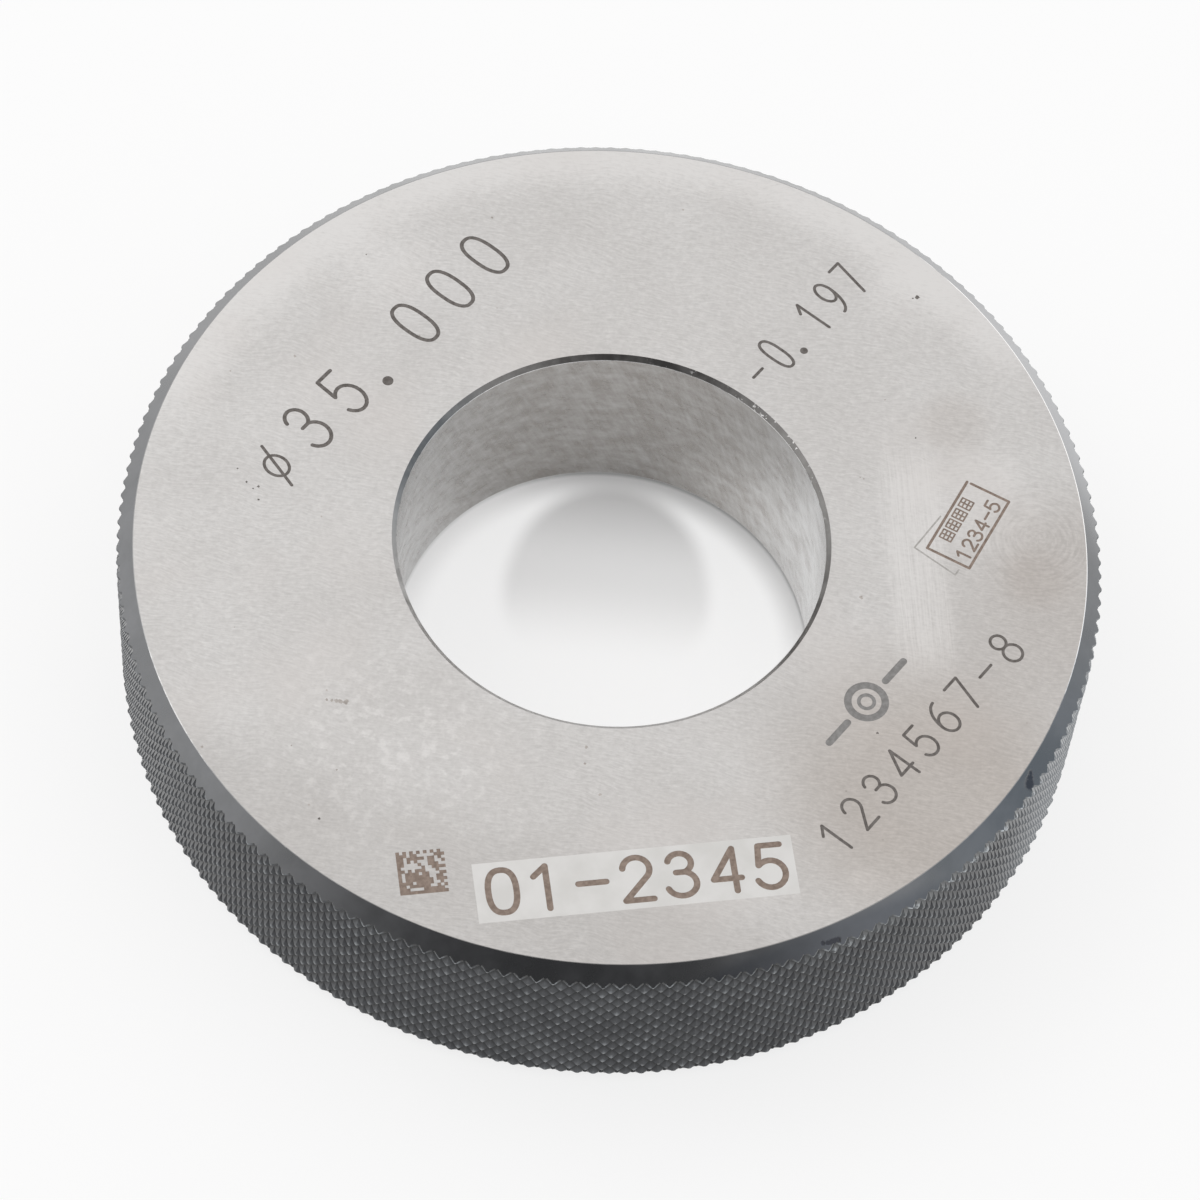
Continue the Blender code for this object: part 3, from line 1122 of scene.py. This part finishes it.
def floor_white(nodes, place, reflected):
    """The share of its own white in the floor's light. reflected is 1 where it is seen in the metal."""
    side, depth, _ = nodes.separate(nodes.turn(place, CAMERA_AZIMUTH))
    radius = nodes.radius(place)
    from_spring = nodes.minus(depth, ARCH_SPRING)
    up = nodes.math("DIVIDE", nodes.larger(from_spring, 0.0), ARCH_RISE)
    down = nodes.math("DIVIDE", nodes.math("MINIMUM", from_spring, 0.0), ARCH_FALL)
    arch = nodes.diagonal(nodes.math("DIVIDE", side, ARCH_HALF_WIDTH), nodes.plus(up, down))
    inside = nodes.ramp(arch, 1 + ARCH_SOFTNESS, 1 - ARCH_SOFTNESS)
    inside = nodes.times(inside, nodes.ramp(depth, *ARCH_FADE))
    middle = nodes.ramp(depth, *ARCH_DARKENING, ARCH_MIDDLE_WHITE, ARCH_TOP_WHITE)
    seen = nodes.blend(inside, BORE_SIDE_WHITE, middle)
    mirrored = nodes.ramp(side, *REFLECTED_RIGHT, REFLECTED_MIDDLE_WHITE, REFLECTED_RIGHT_WHITE)
    mirrored = nodes.larger(mirrored, nodes.ramp(side, *REFLECTED_LEFT, 0.0, REFLECTED_LEFT_WHITE))
    in_bore = nodes.blend(reflected, seen, mirrored)
    far_part = nodes.times(nodes.ramp(depth, *SHADE_DEPTH), nodes.ramp(side, *SHADE_SIDE, 0.45, 1.0))
    depth_of_shade = nodes.blend(reflected, SHADE_SEEN, SHADE_REFLECTED)
    shade = nodes.ramp(radius, BORE_RADIUS - WALL_SHADE, BORE_RADIUS, 0.0, depth_of_shade)
    shade = nodes.times(shade, far_part)
    in_bore = nodes.times(in_bore, nodes.minus(1.0, shade))
    outside = nodes.ramp(radius, BORE_RADIUS, TIP_RADIUS)
    return nodes.blend(outside, in_bore, OPEN_FLOOR_WHITE)


def floor_look(nodes, place):
    """White, with painted shadow under the ring, and with a share of white of its own."""
    radius = nodes.radius(place)
    white = nodes.mix(nodes.noise(place, 6, 2.0), rgb(0.89, 0.89, 0.895), rgb(0.92, 0.92, 0.92))
    # Painted shadow: the floor's colour darkens under the ring.
    under = nodes.ramp(radius, BORE_RADIUS - UNDER_EDGE, BORE_RADIUS + UNDER_EDGE)
    under = nodes.times(under, nodes.ramp(radius, FACE_RADIUS, FACE_RADIUS - MM))
    nodes.set(Base_Color=nodes.mix(under, white, rgb(0.35, 0.35, 0.35)), Roughness=0.7)
    rays = nodes.node("ShaderNodeLightPath").outputs
    seen = nodes.larger(rays["Is Camera Ray"], rays["Is Glossy Ray"])
    share = nodes.times(seen, floor_white(nodes, place, rays["Is Glossy Ray"]))
    glow = nodes.node("ShaderNodeEmission", [("Color", rgb(1.0, 1.0, 1.0))])
    mixed = nodes.node("ShaderNodeMixShader", enumerate((share, nodes.shader.outputs[0], glow.outputs[0])))
    nodes.put(nodes.tree.nodes["Material Output"].inputs["Surface"], mixed.outputs[0])


def make_floor():
    mesh = bpy.data.meshes.new("floor")
    corners = [(x * FLOOR_REACH, y * FLOOR_REACH, 0) for x, y in ((-1, -1), (1, -1), (1, 1), (-1, 1))]
    mesh.from_pydata(corners, [], [(0, 1, 2, 3)])
    mesh.materials.append(make_material("floor", floor_look))
    floor = new_object("floor", mesh)
    floor.location.z = -FLOOR_GAP


# The studio: white all round, with a few places that aren't. Each has its azimuth from the camera's, its
# elevation, the angles from its middle where it is full and where it has gone, and its colour.
STUDIO_STRENGTH = 1.2
STUDIO = (
    (-5, 28, 16, 62, (0.12, 0.12, 0.124)),  # a dark front
    (95, 12, 8, 38, (0.44, 0.51, 0.58)),  # a cool window
    (150, 72, 5, 45, (0.82, 0.79, 0.77)),  # a warm corner
)
# One softbox, at the left. Its azimuth is from the camera's.
SOFTBOX_AZIMUTH = math.radians(-110)
SOFTBOX_ELEVATION = math.radians(50)
SOFTBOX_DISTANCE = 1.0
SOFTBOX_SIZE = 0.5
SOFTBOX_POWER = 1.2


def make_world():
    world = bpy.data.worlds.new("studio")
    bpy.context.scene.world = world
    nodes = Nodes(world, "Background")
    sky = nodes.node("ShaderNodeTexCoord").outputs["Generated"]
    colour = rgb(1.0, 1.0, 1.0)
    for azimuth, elevation, full, gone, tint in STUDIO:
        middle = direction(CAMERA_AZIMUTH + math.radians(azimuth), math.radians(elevation))
        nearness = nodes.vector_math("DOT_PRODUCT", sky, middle, "Value")
        share = nodes.ramp(nearness, math.cos(math.radians(gone)), math.cos(math.radians(full)))
        colour = nodes.mix(share, colour, rgb(*tint))
    nodes.set(Color=colour, Strength=STUDIO_STRENGTH)


def make_softbox():
    data = bpy.data.lights.new("softbox", "AREA")
    data.shape = "SQUARE"
    data.size = SOFTBOX_SIZE
    data.energy = SOFTBOX_POWER
    lamp = new_object("softbox", data)
    back = direction(CAMERA_AZIMUTH + SOFTBOX_AZIMUTH, SOFTBOX_ELEVATION)
    lamp.location = back * SOFTBOX_DISTANCE
    lamp.rotation_mode = "QUATERNION"
    lamp.rotation_quaternion = back.to_track_quat("Z", "Y")


def main():
    make_camera()
    ring = make_ring()
    for name, look in FINISHES.items():
        ring.data.materials.append(make_material(name, look))
    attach(ring, "root")
    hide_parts(NODE)
    make_floor()
    make_world()
    make_softbox()
    bpy.context.scene.view_settings.view_transform = "Standard"


main()
